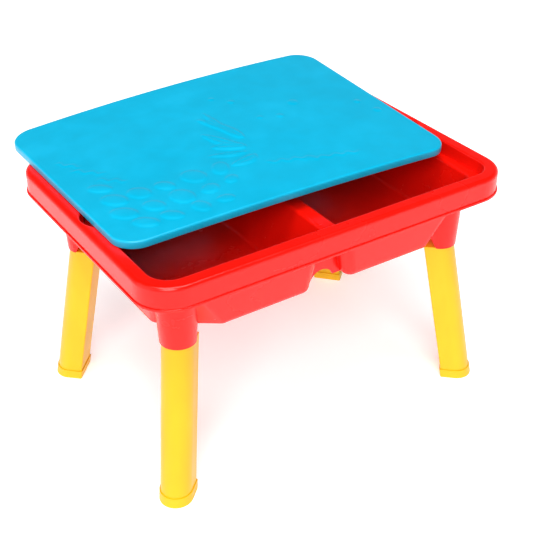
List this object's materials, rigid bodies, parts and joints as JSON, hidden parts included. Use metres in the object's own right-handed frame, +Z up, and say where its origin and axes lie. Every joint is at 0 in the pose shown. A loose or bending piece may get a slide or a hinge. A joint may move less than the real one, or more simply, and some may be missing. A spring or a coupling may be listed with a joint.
{
  "type": "sand and water play table",
  "caption": "Child's sand and water table: a glossy tray with twin basins and a rolled rim on splayed plug-in legs with foot caps, and an arched lift-off lid.",
  "frame": {"origin": "on the floor, under the centre of the tray", "axes": "+X along the table's length, -Y out of the front long side, +Z up"},
  "size_m": [0.493, 0.406, 0.3268],
  "materials": {
    "tray_plastic": "glossy injection-moulded polypropylene, bright red",
    "lid_plastic": "satin light-blue polypropylene with shallow relief",
    "leg_plastic": "smooth warm-yellow polypropylene"
  },
  "bodies": {
    "tray_body": {"tray": "tray_plastic"},
    "lid_body": {"lid": "lid_plastic"},
    "leg_front_left_body": {"leg_front_left": "leg_plastic", "foot_cap_front_left": "leg_plastic"},
    "leg_front_right_body": {"leg_front_right": "leg_plastic", "foot_cap_front_right": "leg_plastic"},
    "leg_back_left_body": {"leg_back_left": "leg_plastic", "foot_cap_back_left": "leg_plastic"},
    "leg_back_right_body": {"leg_back_right": "leg_plastic", "foot_cap_back_right": "leg_plastic"}
  },
  "joints": [
    {"name": "lid_lift", "type": "slide", "parent": "tray_body", "child": "lid_body", "axis": [0, 0, 1], "range_m": [0, 0.15]},
    {"name": "leg_front_left_pull", "type": "slide", "parent": "tray_body", "child": "leg_front_left_body", "axis": [0, 0, -1], "range_m": [0, 0.045]},
    {"name": "leg_front_right_pull", "type": "slide", "parent": "tray_body", "child": "leg_front_right_body", "axis": [0, 0, -1], "range_m": [0, 0.045]},
    {"name": "leg_back_left_pull", "type": "slide", "parent": "tray_body", "child": "leg_back_left_body", "axis": [0, 0, -1], "range_m": [0, 0.045]},
    {"name": "leg_back_right_pull", "type": "slide", "parent": "tray_body", "child": "leg_back_right_body", "axis": [0, 0, -1], "range_m": [0, 0.045]}
  ]
}
